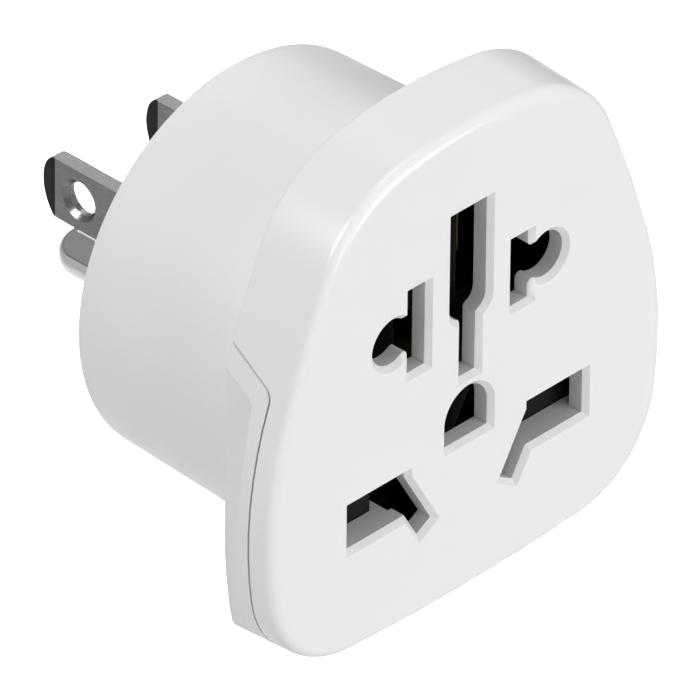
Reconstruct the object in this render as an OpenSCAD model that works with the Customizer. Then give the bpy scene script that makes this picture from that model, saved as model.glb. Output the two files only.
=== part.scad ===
// Universal travel adapter: a multi-standard socket face on the front, two flat blades and
// a round earth pin on the back of a round barrel.
// Origin: centre of the flat back of the barrel. +Z is up, +Y points the way the pins leave.

/* [Socket face] */
// Width across the two flat-blade slots, centre to centre
blade_spacing = 12.7; // [12.6:0.05:12.8]
// Distance between the two round pin holes, centre to centre
round_spacing = 19; // [18.9:0.05:19.1]
// Radius of a round pin hole behind its flared mouth
round_hole_r = 2.25; // [2.15:0.05:2.3]
// Height of the flat-blade and round-pin line above the barrel's axis
slot_line_z = 8.2; // [8:0.05:8.4]
// Flare at the mouth of every opening, 45 degrees
mouth_flare = 0.5; // [0.3:0.05:0.55]
// Height of the neutral blade slot at its mouth
neutral_slot_h = 9.5; // [9.2:0.05:9.7]
// Height of the live blade slot at its mouth
live_slot_h = 7.94; // [7.7:0.05:8.2]
// Width of a blade slot at its mouth
blade_slot_w = 3.18; // [3.1:0.02:3.24]
// Width of the wide part of the centre slot at its mouth
centre_slot_w = 5.5; // [5.4:0.05:5.6]
// Width of the narrow part of the centre slot at its mouth
centre_slit_w = 3; // [2.9:0.05:3.1]
// Width of the D-shaped earth hole at its mouth
d_hole_w = 6.3; // [6.2:0.05:6.4]
// Half the distance between the two rectangular pin slots
rect_slot_x = 11.11; // [11.05:0.01:11.15]
// Width of a rectangular pin slot at its mouth
rect_slot_w = 8.02; // [7.9:0.02:8.1]
// Height of a rectangular pin slot at its mouth
rect_slot_h = 5.53; // [5.4:0.01:5.6]
// Lean of the two oblique blade slots from the vertical
leg_angle = 30; // [29.5:0.1:30.5]
// Width of an oblique blade slot at its mouth
leg_w = 2.98; // [2.9:0.02:3.04]

/* [Front plate] */
// Depth of the plate, both shells together
plate_depth = 8; // [7.9:0.05:8.1]
// Thickness of the socket face
face_t = 1.98; // [1.9:0.02:2.04]
// Radius of the rounded rim around the socket face
rim_r = 1.1; // [0.9:0.05:1.2]
// Depth of the parting line on the lower sides
seam_depth = 2.5; // [2.4:0.05:2.6]
// Width of the parting line
seam_gap = 0.2; // [0.14:0.02:0.24]
// Rise of the parting line where it runs up to the rear edge, in degrees
seam_rise = 27.4; // [26:0.2:29]
// Half width left between the two finger grips
grip_half_w = 21.9; // [21.7:0.05:22.1]

/* [Barrel and pins] */
// Depth of the whole body, socket face to barrel back
body_depth = 28.75; // [28.5:0.05:29]
// Radius of the barrel where it leaves the plate
barrel_r = 19.89; // [19.8:0.01:20]
// Radius lost per millimetre of barrel length
barrel_draft = 0.03; // [0.026:0.001:0.032]
// Radius on the barrel's back edge
barrel_edge_r = 0.6; // [0.4:0.05:0.8]
// Length of the flat blades beyond the barrel
blade_reach = 16.75; // [16:0.05:18]
// Thickness of a flat blade
blade_t = 1.49; // [1.4:0.01:1.55]
// Length of a blade's round end, from the full height to the tip
blade_end = 1.69; // [1.5:0.05:1.9]
// Height of a flat blade
blade_h = 6.13; // [6:0.01:6.35]
// Height of the blades above the barrel's axis
blade_z = 2.4; // [2.2:0.05:2.6]
// Length of the earth pin beyond the barrel
pin_reach = 20.5; // [20:0.05:21.5]
// Radius of the earth pin
pin_r = 2.4; // [2.35:0.01:2.42]
// Distance of the earth pin below the blades
pin_drop = 11.89; // [11.8:0.01:12]

/* [Shutters] */
// How far a shutter slides down to uncover its slot
shutter_travel = 5; // [4.9:0.05:5.1]
// Depth of a shutter's flat front behind the socket face
shutter_front = 3.15; // [3.1:0.01:3.2]
// Number of turns in a shutter spring
spring_turns = 7; // [5:1:8]
// Radius of the spring wire
wire_r = 0.2; // [0.14:0.01:0.2]

/* [Preview] */
// Which piece to draw

/* [Hidden] */

$fn = 64;
// Overlap that keeps cuts and joined solids clean
eps = 0.01;
// Reach of the outlines and cuts that only have to pass the plate
beyond = 50;
// Depth every opening is cut to, well behind the socket face
cut_depth = 2.2;

// Plate outline at the flat of the face: height of its top, then [radius, sweep] of each arc
// from the top to the bottom of the right half
outline_top = slot_line_z + 17.15;
outline_arcs = [[43.8, 10.97], [11.51, 55.25], [116.8, 7.1], [38.83, 25.43], [9.364, 77.22]];
outline_step = 4;
rim_step = 7.5;
rear_edge_step = 15;
// Growth of the outline from the rim to the rear edge
wall_growth = 0.38;
rear_edge_r = 0.33;
slice_t = 0.005;

// Skirt of the cover and tongue of the housing, as offsets of the face outline
skirt_inset = -0.4;
tongue_inset = -0.5;
tongue_front = face_t + 0.08;
flange_front = 6.3;
tongue_t = 1.4;
side_wall = 1.6;
side_gap = 0.5;

// Parting line: height of its corner and the radius of that corner
seam_corner_z = 7.73;
seam_corner_r = 1.5;
seam_corner_steps = 8;
// Finger grip: flush band left beside and above it, where the plate is widest, draft of its step,
// and the bow of its lower part
grip_band_side = 1.35;
grip_band_top = 1.65;
grip_wall_x = 24.3;
grip_draft = 12;
grip_corner_r = 1.2;
grip_bow_r = 47;
grip_bow_z = -9.5;
grip_bow_sweep = 20;
grip_bow_steps = 8;
// Sides between which the grips are cut
grip_cut_inner = 19;
grip_cut_outer = 26;

// Barrel
bore_front_r = 18.2;
bore_back_r = 17.8;
back_wall_front = 27;
pad_front = 25.4;
shoulder_front = 24.2;
bus_front = 23.4;
base_front = 22.8;
// Blocks inside the back wall that the blades and the pin rest against
blade_pad_w = 4.6;
blade_pad_rim = 0.7;
pin_pad_r = 4.4;

// Openings
blade_x = blade_spacing / 2;
round_x = round_spacing / 2;
round_mouth_r = round_hole_r + mouth_flare;
blade_slot_side = blade_x + blade_slot_w / 2;
round_meet_z = sqrt(pow(round_mouth_r, 2) - pow(round_x - blade_slot_side, 2));
centre_top_z = slot_line_z + 9.92;
centre_bend_r = 2;
centre_bend_x = centre_slot_w / 2 - centre_bend_r;
centre_bend_z = slot_line_z - 0.3;
centre_meet_z = centre_bend_z
    - sqrt(pow(centre_bend_r, 2) - pow(centre_slit_w / 2 - centre_bend_x, 2));
centre_bottom_z = slot_line_z - 8.29;
d_hole_z = slot_line_z - 11.87;
d_hole_bottom_z = slot_line_z - 14.9;
rect_slot_z = slot_line_z - 16.805;
leg_across = 15.07;
leg_start = 9;
leg_end = 16.45;
nose_steps = 12;
bend_steps = 7;
round_steps = 30;

// Shutter guides, all on the right-hand side
shutter_back = 6.1;
shutter_inner_x = 9.05;
shutter_arm_x = 15.2;
shutter_outer_x = 16;
shutter_bottom_z = slot_line_z - 21.1;
shutter_ramp_z = slot_line_z - 17.6;
shutter_top_z = slot_line_z - 14.1;
ear_top_z = slot_line_z - 11.8;
ear_h = 1.4;
ear_end_x = 19.9;
ear_front = 3.5;
guide_top_z = rect_slot_z - rect_slot_h / 2 + mouth_flare;
guide_bottom_z = shutter_bottom_z - shutter_travel + 0.3;
guide_back = 5.6;
guide_gap = 0.1;
spring_x = 18.3;
spring_depth = 4.8;
spring_r = 1.1;
spring_top_z = ear_top_z - ear_h;
spring_length = 8;
seat_top_z = spring_top_z - spring_length;
stub_r = 0.65;
stub_h = 1;

// Screws: [x, z] of the right-hand ones, and the radius of the boss of each housing screw
housing_screw_bosses = [[11.8, 20.2, 2.3], [18.1, -16, 1.7]];
boss_gap = 0.15;
screw_head_r = 1.8;
screw_head_front = plate_depth - 1;
screw_head_back = plate_depth - 0.1;
screw_tip = face_t + 1;
screw_shank_r = 0.75;
head_gap = 0.15;
shank_gap = 0.2;
tip_room = 0.4;
carrier_screw = [14.4, -0.6];
carrier_head_front = 15.6;
carrier_head_back = 17;
carrier_screw_tip = 26;
carrier_head_r = 2.1;
carrier_shank_r = 1.1;

// Carrier: windows for the contacts as [left, low, right, high]
carrier_front = 6.25;
carrier_r = 17.6;
earth_half_w = 3.1;
earth_window = [-earth_half_w, d_hole_z - earth_half_w - 0.2, earth_half_w, beyond / 2];
upper_window = [4.55, 3.6, 13.1, 12.8];
lower_window = [7.4, -12.2, 15, -5.3];
leg_window = [leg_across - 1.7, -leg_end - 0.2, leg_across + 1.7, -leg_start - 0.2];
pocket_front = 22.4;
blade_pocket_w = 2.6;
blade_pocket_rim = 0.5;
pin_pocket_r = 2.2;

// Blades and pin inside the body
fit_gap = 0.05;
tenon_h = 3.5;
tenon_front = 22.9;
shoulder_h = 9;
pin_z = blade_z - pin_drop;
// The pin has a relief where it passes through the back wall
pin_neck_r = pin_r - 0.4;
pin_tenon_r = 1.5;
pin_stub_r = 1.9;
pin_collar_r = 3.8;

// Round end of a blade: bevel on both sides and thickness left at the tip
blade_end_r = (pow(blade_h / 2, 2) + pow(blade_end, 2)) / (2 * blade_end);
blade_end_steps = 16;
blade_bevel = 2;
blade_tip_t = 0.4;
blade_hole_reach = 11.81;
blade_hole_r = 1.6;
blade_hole_sink = 0.45;

// Contacts: bars as [left, low, right, high]
brass_t = 0.5;
clip_front = 9;
leaf_bow = 0.15;
leaf_bow_depth = clip_front + 3;
blade_leaf_x = 0.8;
round_leaf_x = 2.35;
blade_leaf_h = 5.6;
round_leaf_h = 4;
rect_leaf_z = 1.95;
rect_leaf_x = [9.2, 13];
leg_leaf_x = 0.8;
leg_leaf_low = -15.2;
leg_leaf_high = [-13.2, -10.6];
bar_upper = [5.2, 5.2, 12.4, 11.2];
bar_stem = [5.2, -6.5, 9.2, 5.5];
bar_lower = [5.2, -11.2, 13, -5.6];
bar_earth = [-3, pin_z - 3, 3, 9];
lower_base = [8.8, -11, 13, -6];
leg_base = [leg_across - leg_leaf_x - brass_t, -15.2, leg_across + leg_leaf_x + brass_t, -10.6];
rivet_r = 0.6;
rivet_head_r = 1.15;
rivet_head_t = 0.5;
rivet_end_r = 1;
rivet_end_t = 0.4;
upper_rivet = [9.4, slot_line_z];
lower_rivet = [rect_slot_x, rect_slot_z];
earth_rivets = [[0, 8.2], [0, 0.6], [0, -3.7]];

// Colours
white_shell = [0.93, 0.93, 0.92];
white_barrel = [0.9, 0.9, 0.89];
black_moulding = [0.07, 0.07, 0.075];
grey_shutter = [0.24, 0.24, 0.25];
brass = [0.78, 0.62, 0.3];
nickel = [0.74, 0.74, 0.73];
steel = [0.6, 0.61, 0.62];

// ---------- placing ----------

// Moves a piece drawn from the socket face backwards into the part's frame
module from_face() {
    translate([0, -body_depth, 0])
        children();
}

// Draws its children on the right and mirrored on the left
module both_sides() {
    children();
    mirror([1, 0, 0])
        children();
}

// Prism of a flat outline drawn in x and z
module slab(front, back) {
    translate([0, back, 0])
        rotate([90, 0, 0])
            linear_extrude(back - front)
                children();
}

// Prism of a flat outline drawn in depth and z
module side_slab(left, right) {
    translate([left, 0, 0])
        rotate([90, 0, 90])
            linear_extrude(right - left)
                children();
}

// Round rod along the depth
module rod(front, back, r) {
    translate([0, front, 0])
        rotate([-90, 0, 0])
            cylinder(h = back - front, r = r);
}

// Cone along the depth
module cone(front, back, front_r, back_r) {
    translate([0, front, 0])
        rotate([-90, 0, 0])
            cylinder(h = back - front, r1 = front_r, r2 = back_r);
}

// Moves to an [x, z] place
module at(place) {
    translate([place[0], 0, place[1]])
        children();
}

// Flat rectangle given as [left, low, right, high]
module area(sides) {
    translate([sides[0], sides[1]])
        square([sides[2] - sides[0], sides[3] - sides[1]]);
}

// ---------- plate outline ----------

function arc_start(i) = i == 0 ? 0 : arc_start(i - 1) + outline_arcs[i - 1][1];

function arc_centre(i) = i == 0
    ? [0, outline_top - outline_arcs[0][0]]
    : arc_centre(i - 1)
        + (outline_arcs[i - 1][0] - outline_arcs[i][0]) * [sin(arc_start(i)), cos(arc_start(i))];

// Bottom arc: tangent to the last one and centred on the middle of the plate
last_arc = len(outline_arcs) - 1;
bottom_start = arc_start(last_arc) + outline_arcs[last_arc][1];
bottom_r = outline_arcs[last_arc][0] + arc_centre(last_arc)[0] / sin(bottom_start);
bottom_centre_z = arc_centre(last_arc)[1] + (outline_arcs[last_arc][0] - bottom_r) * cos(bottom_start);

function arc_points(centre, r, start, sweep) = [
    for (s = [0 : ceil(sweep / outline_step) - 1])
        let (t = start + sweep * s / ceil(sweep / outline_step))
            centre + r * [sin(t), cos(t)]
];

function half_outline(grow) = concat(
    [for (i = [0 : last_arc])
        each arc_points(arc_centre(i), outline_arcs[i][0] + grow, arc_start(i), outline_arcs[i][1])],
    arc_points([0, bottom_centre_z], bottom_r + grow, bottom_start, 180 - bottom_start),
    [[0, bottom_centre_z - bottom_r - grow]]
);

// Whole outline from its right half, which starts and ends on the middle
function mirrored(half) = [for (i = [len(half) - 2 : -1 : 1]) [-half[i][0], half[i][1]]];

module plate_outline(grow) {
    polygon(concat(half_outline(grow), mirrored(half_outline(grow))));
}

// Points along an arc, from step first to the last
function arc(centre, r, from, to, steps, first = 0) = [
    for (i = [first : steps])
        let (a = from + (to - from) * i / steps)
            centre + r * [cos(a), sin(a)]
];

// Everything between the finger grips: straight sides that bow inwards lower down
module between_grips(inset) {
    side = arc(
        [grip_half_w - grip_bow_r, grip_bow_z], grip_bow_r - inset,
        0, -grip_bow_sweep, grip_bow_steps
    );
    half = concat([[0, beyond], [grip_half_w - inset, beyond]], side, [[0, -beyond]]);
    polygon(concat(half, mirrored(half)));
}

// Growth of the outline at a depth behind the rim
function wall_grow(depth) = rim_r + wall_growth * (depth - rim_r) / (plate_depth - rim_r);

// The plate as one solid: rounded rim, slightly flared side and an eased rear edge
module plate_solid() {
    hull() {
        for (a = [0 : rim_step : 90])
            slab(rim_r * (1 - cos(a)), rim_r * (1 - cos(a)) + slice_t)
                plate_outline(rim_r * sin(a));
        for (a = [0 : rear_edge_step : 90])
            slab(plate_depth - rear_edge_r * (1 - sin(a)) - slice_t,
                plate_depth - rear_edge_r * (1 - sin(a)))
                plate_outline(wall_grow(plate_depth) - rear_edge_r * (1 - cos(a)));
    }
}

// ---------- parting line ----------

// Side view of everything behind the parting line; the line moves back by side and down by top
module behind_seam(side, top, corner_r) {
    reach = 2 * plate_depth;
    corner = [
        seam_depth + side + corner_r,
        seam_corner_z + tan(seam_rise) * (side + corner_r) - (corner_r + top) / cos(seam_rise)
    ];
    polygon(concat(
        [[seam_depth + side, -beyond]],
        arc(corner, corner_r, 180, 90 + seam_rise, seam_corner_steps),
        [
            [reach, seam_corner_z + tan(seam_rise) * (reach - seam_depth) - top / cos(seam_rise)],
            [reach, -beyond]
        ]
    ));
}

// ---------- openings of the socket face ----------

// Every outline below runs anticlockwise as seen from the front; inset moves it into the opening.
// Corners of the face that stand into an opening become arcs of radius inset.

function blade_and_round_outline(height, inset) =
    let (
        left = blade_x - blade_slot_w / 2 + inset,
        right = blade_slot_side - inset,
        half = height / 2 - inset,
        lean = atan2(round_meet_z, round_x - blade_slot_side)
    )
    concat(
        [[left, -half], [right, -half]],
        arc([blade_slot_side, -round_meet_z], inset, 180, lean, nose_steps),
        arc([round_x, 0], round_mouth_r - inset, lean - 180, 180 - lean, round_steps, 1),
        arc([blade_slot_side, round_meet_z], inset, -lean, -180, nose_steps, 1),
        [[right, half], [left, half]]
    );

function centre_outline(inset) =
    let (
        slit = centre_slit_w / 2,
        wide = centre_slot_w / 2,
        lean = atan2(centre_bend_z - centre_meet_z, slit - centre_bend_x)
    )
    concat(
        [[inset - slit, centre_bottom_z + inset], [slit - inset, centre_bottom_z + inset]],
        arc([slit, centre_meet_z], inset, 180, 180 - lean, nose_steps),
        arc([centre_bend_x, centre_bend_z], centre_bend_r - inset, -lean, 0, bend_steps, 1),
        [[wide - inset, centre_top_z - inset], [inset - wide, centre_top_z - inset]],
        arc([-centre_bend_x, centre_bend_z], centre_bend_r - inset, 180, 180 + lean, bend_steps),
        arc([-slit, centre_meet_z], inset, lean, 0, nose_steps, 1)
    );

function d_outline(inset) =
    let (half = d_hole_w / 2 - inset)
    concat(
        [[-half, d_hole_bottom_z + inset], [half, d_hole_bottom_z + inset]],
        arc([0, d_hole_z], half, 0, 180, round_steps)
    );

function unit(v) = v / norm(v);

// Moves every side of an anticlockwise polygon inwards
function inset_polygon(points, inset) = [
    for (i = [0 : len(points) - 1])
        let (
            before = unit(points[i] - points[(i + len(points) - 1) % len(points)]),
            after = unit(points[(i + 1) % len(points)] - points[i]),
            normals = [-before[1] - after[1], before[0] + after[0]]
        )
            points[i] + inset * normals / (1 + before * after)
];

// Corner of the oblique slot, from its distances across and down the lean
function leg_point(across, down) = [
    across * cos(leg_angle) - down * sin(leg_angle),
    slot_line_z - across * sin(leg_angle) - down * cos(leg_angle)
];

function rect_outline(inset) =
    let (
        left = rect_slot_x - rect_slot_w / 2,
        right = rect_slot_x + rect_slot_w / 2,
        low = rect_slot_z - rect_slot_h / 2,
        high = rect_slot_z + rect_slot_h / 2,
        near = leg_across - leg_w / 2,
        far = leg_across + leg_w / 2,
        near_down = (near * cos(leg_angle) - left) / sin(leg_angle),
        far_down = (slot_line_z - far * sin(leg_angle) - low) / cos(leg_angle)
    )
    inset_polygon([
        leg_point(near, leg_end), leg_point(far, leg_end), leg_point(far, far_down),
        [right, low], [right, high], [left, high], leg_point(near, near_down)
    ], inset);

// Cutting tool of an opening: flared from the mouth outline to the wall outline, then straight.
// Points that coincide at the mouth are used once.
module opening_cut(mouth, wall) {
    n = len(mouth);
    single = [for (i = [0 : n - 1]) i > 0 && norm(mouth[i] - mouth[i - 1]) < eps / 10 ? 0 : 1];
    function own(i) = single[i] == 1 ? i : own(i - 1);
    rings = [[-1, mouth], [0, mouth], [mouth_flare, wall], [cut_depth, wall]];
    polyhedron(
        points = [for (ring = rings) each [for (p = ring[1]) [p[0], ring[0], p[1]]]],
        faces = concat(
            [[for (i = [n - 1 : -1 : 0]) if (single[i] == 1) i]],
            [for (i = [0 : n - 1])
                let (j = (i + 1) % n)
                    if (own(i) != own(j)) [own(i), own(j), n + own(j), n + own(i)]],
            [for (i = [0 : n - 1])
                let (j = (i + 1) % n)
                    own(i) != own(j)
                        ? [n + own(i), n + own(j), 2 * n + j, 2 * n + i]
                        : [n + own(i), 2 * n + j, 2 * n + i]],
            [for (i = [0 : n - 1])
                let (j = (i + 1) % n)
                    [2 * n + i, 2 * n + j, 3 * n + j, 3 * n + i]],
            [[for (i = [0 : n - 1]) 3 * n + i]]
        )
    );
}

module blade_and_round_opening(height) {
    translate([0, 0, slot_line_z])
        opening_cut(
            blade_and_round_outline(height, 0),
            blade_and_round_outline(height, mouth_flare)
        );
}

module centre_opening() {
    opening_cut(centre_outline(0), centre_outline(mouth_flare));
}

module d_opening() {
    opening_cut(d_outline(0), d_outline(mouth_flare));
}

module rect_opening() {
    opening_cut(rect_outline(0), rect_outline(mouth_flare));
}

// ---------- shells ----------

module shutter_guides() {
    rail_w = 0.95;
    outer_rail_w = 0.6;
    seat_t = 1.5;
    stop_t = 1;
    rail_x = shutter_inner_x - guide_gap - rail_w;
    outer_rail_x = shutter_outer_x + 1.5 * guide_gap;
    // floor rib under the slot, running back to the shutter
    slab(face_t - eps, shutter_front - guide_gap)
        area([rail_x, guide_top_z - rail_w, shutter_outer_x - 2 * guide_gap, guide_top_z]);
    // inner and outer rails
    slab(face_t - eps, guide_back) {
        area([rail_x, guide_bottom_z, rail_x + rail_w, guide_top_z]);
        area([outer_rail_x, guide_bottom_z, outer_rail_x + outer_rail_w, guide_top_z]);
    }
    // spring seat with its stub, and the stop above the shutter's ear
    slab(face_t - eps, shutter_back) {
        area([shutter_outer_x + 1, seat_top_z - seat_t, ear_end_x, seat_top_z]);
        area([
            shutter_outer_x + 4 * guide_gap, ear_top_z + guide_gap / 2,
            ear_end_x, ear_top_z + guide_gap / 2 + stop_t
        ]);
    }
    translate([spring_x, spring_depth, seat_top_z - eps])
        cylinder(h = stub_h, r = stub_r);
}

module front_cover() {
    floor_t = 0.6;
    color(white_shell)
        from_face()
            difference() {
                union() {
                    difference() {
                        plate_solid();
                        side_slab(-beyond, beyond)
                            behind_seam(0, 0, seam_corner_r);
                        slab(face_t, 2 * plate_depth)
                            plate_outline(skirt_inset);
                    }
                    both_sides() {
                        shutter_guides();
                        for (boss = housing_screw_bosses)
                            at(boss)
                                rod(face_t - eps, flange_front, boss[2]);
                    }
                }
                blade_and_round_opening(live_slot_h);
                mirror([1, 0, 0])
                    blade_and_round_opening(neutral_slot_h);
                centre_opening();
                d_opening();
                both_sides() {
                    rect_opening();
                    for (boss = housing_screw_bosses)
                        at(boss)
                            rod(face_t + floor_t, flange_front + eps, screw_shank_r + fit_gap);
                }
            }
}

// Cuts the finger grips: flat recesses with a drafted step along their front and top
module grip_cut() {
    difference() {
        both_sides()
            hull()
                for (x = [grip_cut_inner, grip_cut_outer]) {
                    run = (grip_wall_x - x) * tan(grip_draft);
                    side_slab(x, x + slice_t)
                        behind_seam(grip_band_side + run, grip_band_top + run, grip_corner_r);
                }
        slab(0, 3 * plate_depth)
            between_grips(0);
    }
}

module barrel_solid() {
    back_r = barrel_r - barrel_draft * (body_depth - plate_depth);
    rotate([-90, 0, 0])
        rotate_extrude($fn = 180)
            polygon(concat(
                [[0, flange_front + eps], [barrel_r, flange_front + eps], [barrel_r, plate_depth]],
                [for (a = [0 : rear_edge_step : 90])
                    [back_r - barrel_edge_r * (1 - cos(a)), body_depth - barrel_edge_r * (1 - sin(a))]],
                [[0, body_depth]]
            ));
}

// Everything the housing fills, before the room for the works is cut
module housing_solid() {
    difference() {
        intersection() {
            plate_solid();
            side_slab(-beyond, beyond)
                behind_seam(seam_gap, seam_gap, seam_corner_r - seam_gap);
        }
        grip_cut();
    }
    slab(tongue_front, plate_depth)
        intersection() {
            plate_outline(tongue_inset);
            between_grips(side_gap);
        }
    barrel_solid();
}

// Hollow of the flange and the barrel, and room for the cover's bosses
module housing_room() {
    slab(face_t, flange_front)
        intersection() {
            plate_outline(tongue_inset - tongue_t);
            between_grips(side_wall);
        }
    cone(flange_front - eps, back_wall_front, bore_front_r, bore_back_r);
    both_sides()
        for (boss = housing_screw_bosses)
            at(boss)
                rod(face_t, flange_front, boss[2] + boss_gap);
}

// Pads behind the blades and the earth pin, and posts for the carrier screws
module housing_pads() {
    pad_h = shoulder_h + 2 * blade_pad_rim;
    both_sides() {
        slab(pad_front, back_wall_front + eps)
            translate([blade_x, blade_z])
                square([blade_pad_w, pad_h], center = true);
        at(carrier_screw)
            rod(bus_front, back_wall_front + eps, carrier_head_r + 2 * fit_gap);
    }
    at([0, pin_z])
        rod(pad_front, back_wall_front + eps, pin_pad_r);
}

module rear_housing() {
    color(white_barrel)
        from_face()
            difference() {
                union() {
                    difference() {
                        housing_solid();
                        housing_room();
                    }
                    housing_pads();
                }
                both_sides() {
                    slab(pad_front - eps, body_depth + 1)
                        translate([blade_x, blade_z])
                            square([blade_t + 2 * fit_gap, blade_h + 2 * fit_gap], center = true);
                    at(carrier_screw)
                        rod(bus_front - eps, carrier_screw_tip + tip_room, carrier_shank_r + fit_gap);
                    for (boss = housing_screw_bosses)
                        at(boss)
                            screw_hole();
                }
                at([0, pin_z])
                    rod(pad_front - eps, body_depth + 1, pin_r + fit_gap);
            }
}

// Hole and head recess of a housing screw in the flange
module screw_hole() {
    rod(flange_front - eps, plate_depth + 1, screw_shank_r + shank_gap);
    rod(screw_head_front, plate_depth + 1, screw_head_r + head_gap);
}

// ---------- moving pieces ----------

module shutter() {
    top_flat = 0.25;
    // sliding wing: flat front, then a slope that the pins press down
    side_slab(shutter_inner_x, shutter_arm_x + eps)
        polygon([
            [shutter_front, shutter_bottom_z], [shutter_front, shutter_ramp_z],
            [shutter_back - top_flat, shutter_top_z], [shutter_back, shutter_top_z],
            [shutter_back, shutter_bottom_z]
        ]);
    slab(shutter_front, shutter_back)
        area([shutter_arm_x, shutter_bottom_z, shutter_outer_x, ear_top_z]);
    slab(ear_front, shutter_back)
        area([shutter_outer_x - eps, spring_top_z, ear_end_x - eps, ear_top_z]);
    translate([spring_x, spring_depth, spring_top_z - stub_h])
        cylinder(h = stub_h + eps, r = stub_r);
}

module live_shutter() {
    color(grey_shutter)
        from_face()
            shutter();
}

module neutral_shutter() {
    color(grey_shutter)
        mirror([1, 0, 0])
            from_face()
                shutter();
}

// Round-wire coil spring standing on z = 0: a level cut through the wire, turned as it rises
module coil_spring() {
    half_angle = 360 * wire_r * spring_turns / spring_length;
    steps = 5;
    slices_per_turn = 16;
    linear_extrude(
        height = spring_length, twist = -360 * spring_turns, slices = slices_per_turn * spring_turns,
        convexity = 10, $fn = 4 * steps
    )
        polygon(concat(
            [for (i = [-steps : steps])
                let (a = half_angle * i / steps)
                    (spring_r + wire_r * sqrt(1 - pow(i / steps, 2))) * [cos(a), sin(a)]],
            [for (i = [steps - 1 : -1 : 1 - steps])
                let (a = half_angle * i / steps)
                    (spring_r - wire_r * sqrt(1 - pow(i / steps, 2))) * [cos(a), sin(a)]]
        ));
}

module live_shutter_spring() {
    color(steel)
        from_face()
            translate([spring_x, spring_depth, seat_top_z])
                coil_spring();
}

module neutral_shutter_spring() {
    color(steel)
        from_face()
            translate([-spring_x, spring_depth, seat_top_z])
                coil_spring();
}

// ---------- contacts ----------

module contact_carrier() {
    color(black_moulding)
        from_face()
            difference() {
                rod(carrier_front, bus_front, carrier_r);
                slab(carrier_front - 1, bus_front + 1)
                    area(earth_window);
                both_sides() {
                    slab(carrier_front - 1, bus_front + 1)
                        area(upper_window);
                    slab(carrier_front - 1, bus_front + 1)
                        area(lower_window);
                    slab(carrier_front - 1, bus_front + 1)
                        translate([0, slot_line_z])
                            rotate(-leg_angle)
                                area(leg_window);
                    // pocket of the blade tenon and the stepped hole of the screw
                    slab(pocket_front, bus_front + 1)
                        translate([blade_x, blade_z])
                            square([blade_pocket_w, tenon_h + 2 * blade_pocket_rim], center = true);
                    at(carrier_screw) {
                        rod(carrier_front - 1, carrier_head_back, carrier_head_r + shank_gap);
                        rod(carrier_head_back - eps, bus_front + 1, carrier_shank_r + head_gap);
                    }
                }
                at([0, pin_z])
                    rod(pocket_front, bus_front + 1, pin_pocket_r);
            }
}

// Round hole for a rivet
module rivet_hole(place) {
    translate(place)
        circle(r = rivet_r + fit_gap);
}

module bus_bar() {
    slab(bus_front, shoulder_front)
        difference() {
            union() {
                area(bar_upper);
                area(bar_stem);
                area(bar_lower);
            }
            rivet_hole(upper_rivet);
            rivet_hole(lower_rivet);
            translate([blade_x, blade_z])
                square([blade_t + 2 * fit_gap, tenon_h + 2 * fit_gap], center = true);
        }
}

module live_bus_bar() {
    color(brass)
        from_face()
            bus_bar();
}

module neutral_bus_bar() {
    color(brass)
        mirror([1, 0, 0])
            from_face()
                bus_bar();
}

module earth_bus_bar() {
    color(brass)
        from_face()
            slab(bus_front, shoulder_front)
                difference() {
                    area(bar_earth);
                    for (place = earth_rivets)
                        rivet_hole(place);
                    translate([0, pin_z])
                        circle(r = pin_tenon_r + fit_gap);
                }
}

// Spring leaf standing on a clip's base: bows towards the pin and flares at its mouth.
// Drawn with the pin on its -x side; the flare leans to +x.
module leaf(low, high, flare) {
    translate([0, 0, low])
        linear_extrude(high - low)
            polygon([
                [0, base_front + eps], [-leaf_bow, leaf_bow_depth], [flare, clip_front],
                [flare + brass_t, clip_front], [brass_t - leaf_bow, leaf_bow_depth],
                [brass_t, base_front + eps]
            ]);
}

// Three leaves: the flat blade goes between the first two, the round pin between the last two
module upper_clip() {
    left = blade_x - blade_leaf_x;
    middle = blade_x + blade_leaf_x;
    right = round_x + round_leaf_x;
    half = blade_leaf_h / 2;
    difference() {
        slab(base_front, bus_front)
            area([left - brass_t, slot_line_z - half, right + brass_t, slot_line_z + half]);
        slab(base_front - 1, bus_front + 1)
            rivet_hole(upper_rivet);
    }
    translate([left, 0, slot_line_z])
        mirror([1, 0, 0])
            leaf(low = -half, high = half, flare = 0.4);
    translate([middle, 0, slot_line_z])
        leaf(low = -half, high = half, flare = 0);
    translate([right, 0, slot_line_z])
        leaf(low = -round_leaf_h / 2, high = round_leaf_h / 2, flare = 0.4);
}

module live_upper_clip() {
    color(brass)
        from_face()
            upper_clip();
}

module neutral_upper_clip() {
    color(brass)
        mirror([1, 0, 0])
            from_face()
                upper_clip();
}

// Two level leaves for the rectangular pin and two oblique ones for the leaning blade
module lower_clip() {
    difference() {
        slab(base_front, bus_front) {
            area(lower_base);
            translate([0, slot_line_z])
                rotate(-leg_angle)
                    area(leg_base);
        }
        slab(base_front - 1, bus_front + 1)
            rivet_hole(lower_rivet);
    }
    translate([0, 0, rect_slot_z + rect_leaf_z])
        rotate([0, -90, 0])
            leaf(low = -rect_leaf_x[1], high = -rect_leaf_x[0], flare = 0.3);
    translate([0, 0, rect_slot_z - rect_leaf_z])
        rotate([0, 90, 0])
            leaf(low = rect_leaf_x[0], high = rect_leaf_x[1], flare = 0.3);
    translate([0, 0, slot_line_z])
        rotate([0, leg_angle, 0]) {
            translate([leg_across + leg_leaf_x, 0, 0])
                leaf(low = leg_leaf_low, high = leg_leaf_high[0], flare = 0.2);
            translate([leg_across - leg_leaf_x, 0, 0])
                mirror([1, 0, 0])
                    leaf(low = leg_leaf_low, high = leg_leaf_high[1], flare = 0.2);
        }
}

module live_lower_clip() {
    color(brass)
        from_face()
            lower_clip();
}

module neutral_lower_clip() {
    color(brass)
        mirror([1, 0, 0])
            from_face()
                lower_clip();
}

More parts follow.
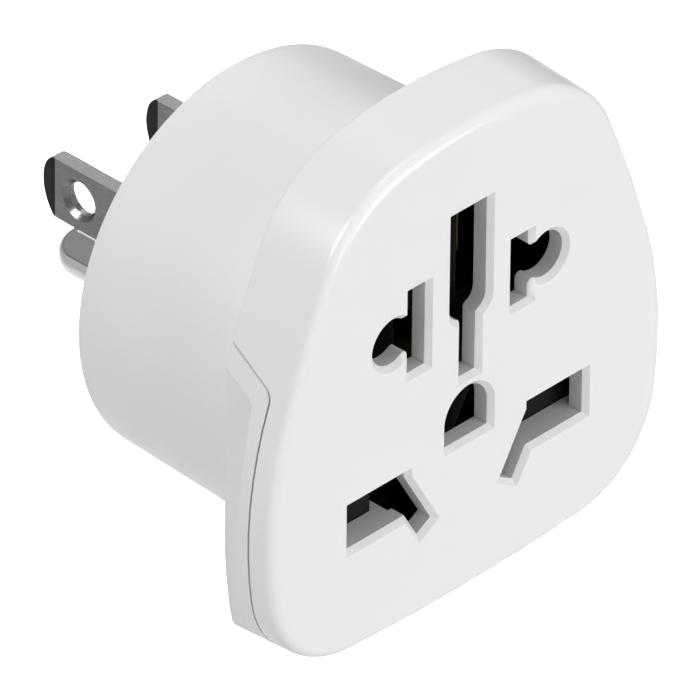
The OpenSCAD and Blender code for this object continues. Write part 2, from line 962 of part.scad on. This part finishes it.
// Earth clip: a base and one leaf on each side of the middle
module earth_clip(half_gap, leaf_low, leaf_high, base_low, rivet, flare) {
    edge = half_gap + brass_t;
    difference() {
        slab(base_front, bus_front)
            area([-edge, base_low, edge, leaf_high]);
        slab(base_front - 1, bus_front + 1)
            rivet_hole(rivet);
    }
    both_sides()
        translate([half_gap, 0, 0])
            leaf(leaf_low, leaf_high, flare);
}

module earth_upper_clip() {
    color(brass)
        from_face()
            earth_clip(
                half_gap = 2, leaf_low = 10, leaf_high = 15.8,
                base_low = 7.1, rivet = earth_rivets[0], flare = 0.4
            );
}

module earth_middle_clip() {
    color(brass)
        from_face()
            earth_clip(
                half_gap = 0.8, leaf_low = 2, leaf_high = 6.8,
                base_low = -0.6, rivet = earth_rivets[1], flare = 0.5
            );
}

module earth_lower_clip() {
    color(brass)
        from_face()
            earth_clip(
                half_gap = 2.3, leaf_low = -5.2, leaf_high = -2.2,
                base_low = -5.6, rivet = earth_rivets[2], flare = 0.2
            );
}

// ---------- blades and pin ----------

// Side outline of a blade: tenon, shoulder and a round end that meets the long sides at a corner
module blade_outline() {
    tip = body_depth + blade_reach;
    upper = concat(
        [
            [tenon_front, tenon_h / 2], [shoulder_front, tenon_h / 2],
            [shoulder_front, shoulder_h / 2], [pad_front, shoulder_h / 2], [pad_front, blade_h / 2]
        ],
        arc([tip - blade_end_r, 0], blade_end_r, asin(blade_h / 2 / blade_end_r), 0, blade_end_steps)
    );
    polygon(concat(upper, [for (i = [len(upper) - 2 : -1 : 0]) [upper[i][0], -upper[i][1]]]));
}

module blade() {
    tip = body_depth + blade_reach;
    half_t = blade_t / 2;
    half_tip = blade_tip_t / 2;
    bevel_start = tip - blade_bevel;
    sink_r = blade_hole_r + blade_hole_sink;
    translate([blade_x, 0, blade_z])
        difference() {
            intersection() {
                side_slab(-half_t, half_t)
                    blade_outline();
                translate([0, 0, -shoulder_h])
                    linear_extrude(2 * shoulder_h)
                        polygon([
                            [-half_t, 0], [-half_t, bevel_start], [-half_tip, tip],
                            [half_tip, tip], [half_t, bevel_start], [half_t, 0]
                        ]);
            }
            translate([0, body_depth + blade_hole_reach, 0])
                rotate([0, 90, 0]) {
                    cylinder(h = 2 * blade_t, r = blade_hole_r, center = true);
                    translate([0, 0, half_t - blade_hole_sink])
                        cylinder(h = blade_hole_sink + eps, r1 = blade_hole_r, r2 = sink_r + eps);
                    translate([0, 0, -half_t - eps])
                        cylinder(h = blade_hole_sink + eps, r1 = sink_r + eps, r2 = blade_hole_r);
                }
        }
}

module live_blade() {
    color(nickel)
        from_face()
            blade();
}

module neutral_blade() {
    color(nickel)
        mirror([1, 0, 0])
            from_face()
                blade();
}

module ground_pin() {
    tip = body_depth + pin_reach;
    color(nickel)
        from_face()
            at([0, pin_z]) {
                rod(tenon_front, bus_front, pin_stub_r);
                rod(tenon_front, shoulder_front + eps, pin_tenon_r);
                rod(shoulder_front, pad_front, pin_collar_r);
                rod(shoulder_front, body_depth + eps, pin_neck_r);
                rod(body_depth, tip - pin_r, pin_r);
                translate([0, tip - pin_r, 0])
                    rotate([-90, 0, 0])
                        rotate_extrude()
                            intersection() {
                                circle(r = pin_r);
                                translate([0, -eps])
                                    square(pin_r + 1);
                            }
            }
}

// ---------- fasteners ----------

module rivet() {
    rod(base_front - rivet_head_t, base_front, rivet_head_r);
    rod(base_front - rivet_head_t, shoulder_front + rivet_end_t, rivet_r);
    rod(shoulder_front, shoulder_front + rivet_end_t, rivet_end_r);
}

module contact_rivets() {
    color(brass)
        from_face() {
            both_sides() {
                at(upper_rivet)
                    rivet();
                at(lower_rivet)
                    rivet();
            }
            for (place = earth_rivets)
                at(place)
                    rivet();
        }
}

// Screw along the depth with a cross recess in the top of its head, which may face either way
module screw(head_base, head_top, head_r, tip, shank_r) {
    recess_w = 0.5;
    recess_depth = 0.5;
    recess_length = 1.4 * head_r;
    outward = head_top > head_base ? 1 : -1;
    difference() {
        union() {
            rod(min(head_base, head_top), max(head_base, head_top), head_r);
            rod(min(head_base, tip), max(head_base, tip), shank_r);
        }
        for (turn = [0, 90])
            translate([0, head_top - outward * recess_depth / 2, 0])
                rotate([0, turn, 0])
                    cube([recess_length, recess_depth + eps, recess_w], center = true);
    }
}

module carrier_screws() {
    color(steel)
        from_face()
            both_sides()
                at(carrier_screw)
                    screw(
                        carrier_head_back, carrier_head_front, carrier_head_r,
                        carrier_screw_tip, carrier_shank_r
                    );
}

module housing_screws() {
    color(steel)
        from_face()
            both_sides()
                for (boss = housing_screw_bosses)
                    at(boss)
                        screw(
                            screw_head_front, screw_head_back, screw_head_r,
                            screw_tip, screw_shank_r
                        );
}

front_cover();
rear_housing();
contact_carrier();
neutral_shutter();
live_shutter();
neutral_shutter_spring();
live_shutter_spring();
neutral_bus_bar();
live_bus_bar();
earth_bus_bar();
neutral_upper_clip();
live_upper_clip();
neutral_lower_clip();
live_lower_clip();
earth_upper_clip();
earth_middle_clip();
earth_lower_clip();
neutral_blade();
live_blade();
ground_pin();
contact_rivets();
carrier_screws();
housing_screws();
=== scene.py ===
import math

import bpy
from mathutils import Matrix, Vector


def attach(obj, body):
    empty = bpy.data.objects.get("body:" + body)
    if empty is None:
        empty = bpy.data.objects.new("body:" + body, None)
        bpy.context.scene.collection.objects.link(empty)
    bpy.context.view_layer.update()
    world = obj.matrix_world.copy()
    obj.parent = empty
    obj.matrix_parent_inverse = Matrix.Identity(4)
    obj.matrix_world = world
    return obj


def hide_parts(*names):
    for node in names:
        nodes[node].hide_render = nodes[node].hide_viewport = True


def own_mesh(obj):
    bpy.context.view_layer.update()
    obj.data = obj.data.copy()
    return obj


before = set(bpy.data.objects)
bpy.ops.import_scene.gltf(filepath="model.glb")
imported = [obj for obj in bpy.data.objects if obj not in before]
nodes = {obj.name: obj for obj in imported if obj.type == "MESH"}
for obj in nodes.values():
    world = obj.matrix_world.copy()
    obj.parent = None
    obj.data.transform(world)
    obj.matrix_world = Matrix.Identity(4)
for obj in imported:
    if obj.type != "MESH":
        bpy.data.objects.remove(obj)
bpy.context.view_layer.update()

MM = 0.001
scene = bpy.context.scene


# ---------- materials ----------

# Noise values mostly stay between these two
NOISE_LOW = 0.3
NOISE_HIGH = 0.7

FLOW_SCALE = 90
GRAIN_SCALE = 5200
GRAIN_DEPTH = 0.00004
PATCH_SCALE = 160
LINE_SCALE = 2600
LINE_DEPTH = 0.00003


def new_material(name):
    material = bpy.data.materials.new(name)
    material.use_nodes = True
    return material, material.node_tree.nodes["Principled BSDF"]


def add_noise(tree, scale, detail, repeat=None):
    """Noise in object space. A repeat below 1 on an axis draws it out along that axis."""
    coords = tree.nodes.new("ShaderNodeTexCoord")
    place = coords.outputs["Object"]
    if repeat:
        mapping = tree.nodes.new("ShaderNodeMapping")
        mapping.inputs["Scale"].default_value = repeat
        tree.links.new(place, mapping.inputs["Vector"])
        place = mapping.outputs["Vector"]
    noise = tree.nodes.new("ShaderNodeTexNoise")
    noise.inputs["Scale"].default_value = scale
    noise.inputs["Detail"].default_value = detail
    tree.links.new(place, noise.inputs["Vector"])
    return noise.outputs["Fac"]


def add_range(tree, source, low, high):
    """Maps noise onto values from low to high."""
    value_range = tree.nodes.new("ShaderNodeMapRange")
    value_range.inputs["From Min"].default_value = NOISE_LOW
    value_range.inputs["From Max"].default_value = NOISE_HIGH
    value_range.inputs["To Min"].default_value = low
    value_range.inputs["To Max"].default_value = high
    tree.links.new(source, value_range.inputs["Value"])
    return value_range.outputs["Result"]


def add_tint(tree, source, dark, light):
    """Maps noise onto colours from dark to light."""
    ramp = tree.nodes.new("ShaderNodeValToRGB")
    first, last = ramp.color_ramp.elements
    first.position = NOISE_LOW
    first.color = (*dark, 1)
    last.position = NOISE_HIGH
    last.color = (*light, 1)
    tree.links.new(source, ramp.inputs["Fac"])
    return ramp.outputs["Color"]


def add_bump(tree, shader, source, strength, distance):
    bump = tree.nodes.new("ShaderNodeBump")
    bump.inputs["Strength"].default_value = strength
    bump.inputs["Distance"].default_value = distance
    tree.links.new(source, bump.inputs["Height"])
    tree.links.new(bump.outputs["Normal"], shader.inputs["Normal"])


def moulded_plastic(name, dark, light, rough, grain=0.05, gloss=0.5):
    """Injection-moulded plastic: faint flow tint, uneven gloss and a fine mould grain."""
    material, shader = new_material(name)
    tree = material.node_tree
    flow = add_noise(tree, FLOW_SCALE, detail=3)
    fine = add_noise(tree, GRAIN_SCALE, detail=2)
    tint = add_tint(tree, flow, dark, light)
    uneven = add_range(tree, flow, rough - 0.015, rough + 0.02)
    tree.links.new(tint, shader.inputs["Base Color"])
    tree.links.new(uneven, shader.inputs["Roughness"])
    shader.inputs["IOR"].default_value = 1.5
    shader.inputs["Specular IOR Level"].default_value = gloss
    add_bump(tree, shader, fine, grain, GRAIN_DEPTH)
    return material


def plated_metal(name, dark, light, rough, scratch, repeat=(1, 1, 1), edge_tint=1):
    """Rolled or turned metal under plating: soft patches and fine drawn lines."""
    material, shader = new_material(name)
    tree = material.node_tree
    patches = add_noise(tree, PATCH_SCALE, detail=4)
    lines = add_noise(tree, LINE_SCALE, detail=3, repeat=repeat)
    tint = add_tint(tree, patches, dark, light)
    uneven = add_range(tree, lines, rough - scratch / 2, rough + scratch)
    tree.links.new(tint, shader.inputs["Base Color"])
    tree.links.new(uneven, shader.inputs["Roughness"])
    shader.inputs["Metallic"].default_value = 1.0
    shader.inputs["Specular Tint"].default_value = (edge_tint, edge_tint, edge_tint, 1)
    add_bump(tree, shader, lines, scratch, LINE_DEPTH)
    return material


cover_plastic = moulded_plastic(
    "cover_plastic", (0.816, 0.816, 0.813), (0.826, 0.826, 0.823), rough=0.22,
)
housing_plastic = moulded_plastic(
    "housing_plastic", (0.79, 0.79, 0.787), (0.8, 0.8, 0.797), rough=0.3,
)
# Black plastic made darker still, reflecting almost nothing: painted shade for the deep inside
# behind the openings
carrier_plastic = moulded_plastic(
    "carrier_plastic", (0.004, 0.004, 0.0045), (0.007, 0.007, 0.0075),
    rough=0.6, grain=0.12, gloss=0.2,
)
# Black plastic made darker still: painted shade for the shutters lying in the shade inside the
# openings
shutter_plastic = moulded_plastic(
    "shutter_plastic", (0.006, 0.006, 0.0063), (0.009, 0.009, 0.0094),
    rough=0.6, grain=0.08, gloss=0.12,
)
contact_brass = plated_metal(
    "contact_brass", (0.50, 0.36, 0.15), (0.62, 0.46, 0.2),
    rough=0.35, scratch=0.08, repeat=(1, 0.1, 1),
)
blade_nickel = plated_metal(
    "blade_nickel", (0.29, 0.29, 0.288), (0.32, 0.32, 0.318),
    rough=0.26, scratch=0.02, repeat=(1, 0.06, 1),
)
# Darker copy of the blade nickel for the tip bevels: painted shade standing in for their darker
# reflection
bevel_nickel_painted_shade = plated_metal(
    "bevel_nickel_painted_shade", (0.04, 0.04, 0.04), (0.06, 0.06, 0.06),
    rough=0.34, scratch=0.05, repeat=(1, 0.06, 1), edge_tint=0.4,
)
pin_nickel = plated_metal(
    "pin_nickel", (0.74, 0.74, 0.735), (0.8, 0.8, 0.795),
    rough=0.07, scratch=0.01, repeat=(1, 6, 1),
)
screw_steel = plated_metal(
    "screw_steel", (0.4, 0.4, 0.41), (0.52, 0.52, 0.53), rough=0.3, scratch=0.1,
)
spring_steel = plated_metal(
    "spring_steel", (0.35, 0.35, 0.36), (0.45, 0.45, 0.46), rough=0.28, scratch=0.05,
)

# The bus bars, clips and rivets aren't listed: they are brass
node_materials = {
    "front_cover": cover_plastic,
    "rear_housing": housing_plastic,
    "contact_carrier": carrier_plastic,
    "neutral_shutter": shutter_plastic,
    "live_shutter": shutter_plastic,
    "neutral_shutter_spring": spring_steel,
    "live_shutter_spring": spring_steel,
    "neutral_blade": blade_nickel,
    "live_blade": blade_nickel,
    "ground_pin": pin_nickel,
    "carrier_screws": screw_steel,
    "housing_screws": screw_steel,
}


def set_material(obj, material):
    obj.data.materials.clear()
    obj.data.materials.append(material)
    for face in obj.data.polygons:
        face.material_index = 0


# ---------- smooth shading for the CAD pieces ----------

SMOOTH_BELOW = 13
MERGE_DISTANCE = 0.000002


def smoothing_group(angle):
    """Joins split corners, then shades smooth across edges flatter than the angle."""
    group = bpy.data.node_groups.new("smooth_below_%d" % angle, "GeometryNodeTree")
    for in_out in ("INPUT", "OUTPUT"):
        group.interface.new_socket(
            "Geometry", in_out=in_out, socket_type="NodeSocketGeometry",
        )
    start = group.nodes.new("NodeGroupInput")
    end = group.nodes.new("NodeGroupOutput")
    merge = group.nodes.new("GeometryNodeMergeByDistance")
    merge.inputs["Distance"].default_value = MERGE_DISTANCE
    smooth_faces = group.nodes.new("GeometryNodeSetShadeSmooth")
    smooth_faces.domain = "FACE"
    sharp_edges = group.nodes.new("GeometryNodeSetShadeSmooth")
    sharp_edges.domain = "EDGE"
    sharp_edges.inputs["Shade Smooth"].default_value = False
    edge_angle = group.nodes.new("GeometryNodeInputMeshEdgeAngle")
    steep = group.nodes.new("FunctionNodeCompare")
    steep.data_type = "FLOAT"
    steep.operation = "GREATER_THAN"
    steep.inputs["B"].default_value = math.radians(angle)
    group.links.new(start.outputs[0], merge.inputs["Geometry"])
    group.links.new(merge.outputs["Geometry"], smooth_faces.inputs["Geometry"])
    group.links.new(smooth_faces.outputs["Geometry"], sharp_edges.inputs["Geometry"])
    group.links.new(edge_angle.outputs["Unsigned Angle"], steep.inputs["A"])
    group.links.new(steep.outputs["Result"], sharp_edges.inputs["Selection"])
    group.links.new(sharp_edges.outputs["Geometry"], end.inputs[0])
    return group


gentle_edges = smoothing_group(SMOOTH_BELOW)

for name, obj in nodes.items():
    set_material(obj, node_materials.get(name, contact_brass))
    modifier = obj.modifiers.new("smooth", "NODES")
    modifier.node_group = gentle_edges


# The bevels at the blade tips get a darker copy of the blade metal, painted shade for their
# darker reflection. They are the faces past BEVEL_START whose normals lean away from the x axis
# by a little.
BEVEL_START = 14.65
BEVEL_NORMAL_X = (0.8, 0.99)

for name in ("neutral_blade", "live_blade"):
    blade = nodes[name]
    blade.data.materials.append(bevel_nickel_painted_shade)
    for face in blade.data.polygons:
        at_tip = face.center.y > BEVEL_START * MM
        if at_tip and BEVEL_NORMAL_X[0] < abs(face.normal.x) < BEVEL_NORMAL_X[1]:
            face.material_index = 1


# ---------- pieces made here in place of plain CAD ones ----------

# Lengths are in millimetres. The socket face lies at y = -BODY_DEPTH.
BODY_DEPTH = 28.75


def mesh_piece(name, verts, faces, material, body, replaced, sharp=35):
    """A mesh given in millimetres in the row frame, riding on a CAD body."""
    mesh = bpy.data.meshes.new(name)
    mesh.from_pydata([(x * MM, y * MM, z * MM) for x, y, z in verts], [], faces)
    mesh.update()
    mesh.shade_smooth()
    mesh.set_sharp_from_angle(angle=math.radians(sharp))
    obj = bpy.data.objects.new(name, mesh)
    scene.collection.objects.link(obj)
    set_material(obj, material)
    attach(obj, body)
    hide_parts(*replaced)
    return obj


def turned(profile, centre, segments):
    """Surface turned about a line along Y.

    The profile is a list of (radius, y), on the axis at both ends.
    """
    cx, cz = centre
    verts, rings = [], []
    for radius, y in profile:
        if radius == 0:
            rings.append([len(verts)])
            verts.append((cx, y, cz))
            continue
        rings.append(list(range(len(verts), len(verts) + segments)))
        for i in range(segments):
            turn = 2 * math.pi * i / segments
            verts.append((cx + radius * math.cos(turn), y, cz + radius * math.sin(turn)))
    faces = []
    for ring, following in zip(rings, rings[1:]):
        for i in range(segments):
            j = (i + 1) % segments
            if len(ring) == 1:
                faces.append((ring[0], following[j], following[i]))
            elif len(following) == 1:
                faces.append((ring[i], ring[j], following[0]))
            else:
                faces.append((ring[i], ring[j], following[j], following[i]))
    return verts, faces


def round_end(radius, tip_y, steps):
    """Profile points of a half ball, from its rim to its tip."""
    turns = [math.radians(90 * i / steps) for i in range(steps)]
    rim_y = tip_y - radius
    rounded = [(radius * math.cos(turn), rim_y + radius * math.sin(turn)) for turn in turns]
    return rounded + [(0, tip_y)]


PIN_R = 2.4
PIN_NECK_R = 2.0
PIN_COLLAR_R = 3.8
PIN_TENON_R = 1.5
PIN_HEAD_R = 1.9
PIN_Z = -9.49
PIN_TIP = 20.5
# The pin's long side is split at these
PIN_SIDE_RINGS = (6, 12)
# Depths behind the socket face, less BODY_DEPTH
head_y = 22.9 - BODY_DEPTH
bus_y = 23.4 - BODY_DEPTH
collar_y = 24.2 - BODY_DEPTH
pad_y = 25.4 - BODY_DEPTH
pin_profile = [
    (0, head_y), (PIN_HEAD_R, head_y), (PIN_HEAD_R, bus_y),
    (PIN_TENON_R, bus_y), (PIN_TENON_R, collar_y),
    (PIN_COLLAR_R, collar_y), (PIN_COLLAR_R, pad_y),
    (PIN_NECK_R, pad_y), (PIN_NECK_R, 0), (PIN_R, 0),
]
pin_profile += [(PIN_R, y) for y in PIN_SIDE_RINGS]
pin_profile += round_end(PIN_R, PIN_TIP, steps=20)
pin_verts, pin_faces = turned(pin_profile, (0, PIN_Z), segments=96)
mesh_piece(
    "earth_pin_turned", pin_verts, pin_faces, pin_nickel, "body",
    ["ground_pin"],
)


def coil(turns, height, coil_r, wire_r, per_turn=30, round_points=10):
    """Compression spring standing on z = 0 with closed end coils."""
    closed_turns = 0.9
    closed_pitch = 0.35
    count = int(turns * per_turn)
    rise = []
    climbed = 0.0
    for i in range(count + 1):
        rise.append(climbed)
        at = i / per_turn
        end_coil = at < closed_turns or at > turns - closed_turns
        climbed += (closed_pitch if end_coil else 1.0) / per_turn
    scale = (height - 2 * wire_r) / rise[-1]
    verts, faces = [], []
    for i in range(count + 1):
        turn = 2 * math.pi * i / per_turn
        z = wire_r + rise[i] * scale
        for k in range(round_points):
            around = 2 * math.pi * k / round_points
            r = coil_r + wire_r * math.cos(around)
            verts.append((r * math.cos(turn), r * math.sin(turn), z + wire_r * math.sin(around)))
    for i in range(count):
        here, ahead = i * round_points, (i + 1) * round_points
        for k in range(round_points):
            m = (k + 1) % round_points
            faces.append((here + k, ahead + k, ahead + m, here + m))
    faces.append(tuple(range(round_points)))
    faces.append(tuple(reversed(range(count * round_points, (count + 1) * round_points))))
    return verts, faces


SPRING_X = 18.3
SPRING_Y = 4.8 - BODY_DEPTH
SPRING_SEAT = -13.0
SPRING_LENGTH = 8.0
for side, pole in ((-1, "neutral"), (1, "live")):
    coil_verts, coil_faces = coil(turns=7, height=SPRING_LENGTH, coil_r=1.1, wire_r=0.2)
    placed = [
        (side * SPRING_X + x, SPRING_Y + y, SPRING_SEAT + z) for x, y, z in coil_verts
    ]
    spring = mesh_piece(
        pole + "_spring_coil", placed, coil_faces, spring_steel, "body",
        [pole + "_shutter_spring"], sharp=60,
    )
    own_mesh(spring)


# ---------- camera ----------

AZIMUTH = math.radians(-46.0307)
ELEVATION = math.radians(34.6192)
ROLL = math.radians(0.6162)
DISTANCE = 1.39355
AIM = Vector((-8.993, -23.025, 4.581)) * MM
FOCAL_LENGTH = 836.3

back = Vector((
    math.sin(AZIMUTH) * math.cos(ELEVATION),
    -math.cos(AZIMUTH) * math.cos(ELEVATION),
    math.sin(ELEVATION),
))
level = Vector((math.cos(AZIMUTH), math.sin(AZIMUTH), 0))
upright = back.cross(level)
right = math.cos(ROLL) * level + math.sin(ROLL) * upright
up = back.cross(right)
camera = bpy.data.objects.new("camera", bpy.data.cameras.new("camera"))
scene.collection.objects.link(camera)
camera.matrix_world = Matrix((
    (right.x, up.x, back.x, AIM.x + back.x * DISTANCE),
    (right.y, up.y, back.y, AIM.y + back.y * DISTANCE),
    (right.z, up.z, back.z, AIM.z + back.z * DISTANCE),
    (0, 0, 0, 1),
))
camera.data.lens = FOCAL_LENGTH
camera.data.clip_start = 0.05
camera.data.clip_end = 20
scene.camera = camera


# ---------- floor and light ----------

# Lengths from here on are in metres
FLOOR_HALF = 6
FLOOR_Z = -0.16
ORIGIN = (0, 0, 0)

floor_mesh = bpy.data.meshes.new("floor")
floor_mesh.from_pydata(
    [
        (-FLOOR_HALF, -FLOOR_HALF, 0), (FLOOR_HALF, -FLOOR_HALF, 0),
        (FLOOR_HALF, FLOOR_HALF, 0), (-FLOOR_HALF, FLOOR_HALF, 0),
    ],
    [], [(0, 1, 2, 3)],
)
floor = bpy.data.objects.new("floor", floor_mesh)
scene.collection.objects.link(floor)
floor.location = (0, 0, FLOOR_Z)
floor_material, floor_shader = new_material("floor_white")
floor_shader.inputs["Base Color"].default_value = (0.52, 0.52, 0.52, 1)
floor_shader.inputs["Roughness"].default_value = 0.9
floor_shader.inputs["Specular IOR Level"].default_value = 0.1
set_material(floor, floor_material)

world = bpy.data.worlds.new("studio")
scene.world = world
world.use_nodes = True
background = world.node_tree.nodes["Background"]
background.inputs["Color"].default_value = (1, 1, 1, 1)
background.inputs["Strength"].default_value = 0.3


def area_light(name, power, size, position, target=ORIGIN, spread=180):
    """An elliptical lamp of the given width and height, turned to its target."""
    data = bpy.data.lights.new(name, "AREA")
    data.shape = "ELLIPSE"
    data.size, data.size_y = size
    data.energy = power
    data.spread = math.radians(spread)
    lamp = bpy.data.objects.new(name, data)
    scene.collection.objects.link(lamp)
    lamp.location = position
    aim = Vector(target) - Vector(position)
    lamp.rotation_euler = aim.to_track_quat("-Z", "Y").to_euler()


area_light("key", 12.3, (0.9, 0.9), (0.45, -1.35, 0.2))
area_light("rim", 3.2, (0.14, 1.0), (-0.35, -1.3, 0))
area_light("left", 10.2, (0.8, 0.8), (-1.05, 0.25, 0.9))
area_light("top", 3.7, (0.8, 0.8), (0.2, 0.15, 1.4))
area_light("back", 2.4, (1.2, 1.2), (0.93, 0.89, 0.89))
area_light(
    "background", 1.3, (0.2, 0.2), (0.2, 0.2, 0.35), target=(0.17, 0.17, FLOOR_Z), spread=60,
)

scene.view_settings.view_transform = "Standard"
scene.view_settings.look = "None"
